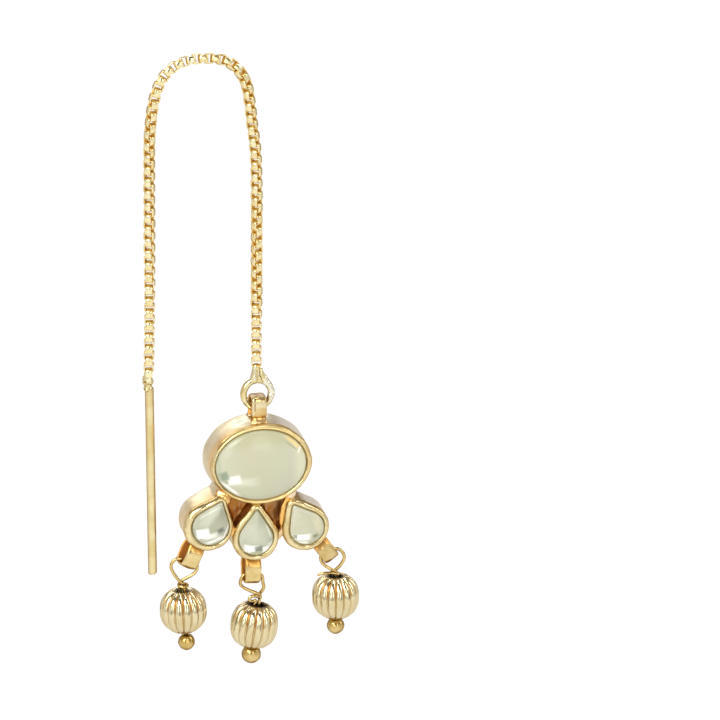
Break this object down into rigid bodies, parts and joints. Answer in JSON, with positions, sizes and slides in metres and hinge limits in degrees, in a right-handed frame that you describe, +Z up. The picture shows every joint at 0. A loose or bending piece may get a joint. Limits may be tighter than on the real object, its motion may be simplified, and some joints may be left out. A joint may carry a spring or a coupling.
{
  "type": "threader earring",
  "caption": "Threader earring: a fine box chain with a straight bar on one end and a hanging pendant of an oval and pear-shaped set stones with ribbed bead drops.",
  "frame": {"origin": "the crown of the chain, where it hangs through the ear hole", "axes": "+Z up, +X to the right as seen from the front, -Y to the front, which the stones face"},
  "size_m": [0.0235, 0.0056, 0.0689],
  "materials": {
    "gold": "polished pale gold plating",
    "satin_gold": "satin gold plating with polished rims",
    "antique_gold": "deeper gold, darkened in the recesses",
    "stone": "polished milky pale green"
  },
  "bodies": {
    "threader": {"threader_bar": "gold", "box_chain": "gold", "hanging_ring": "gold"},
    "pendant": {"pendant_frame": "satin_gold", "stone_oval": "stone", "stone_pear_left": "stone", "stone_pear_middle": "stone", "stone_pear_right": "stone", "bead_left": "gold", "bead_middle": "gold", "bead_right": "gold", "head_pin_left": "antique_gold", "head_pin_middle": "antique_gold", "head_pin_right": "antique_gold"}
  },
  "joints": [
    {"name": "pendant_swing", "type": "hinge", "parent": "threader", "child": "pendant", "pos_m": [0.00582, 0, -0.03941], "axis": [1, 0, 0], "range_deg": [-70, 70]}
  ]
}
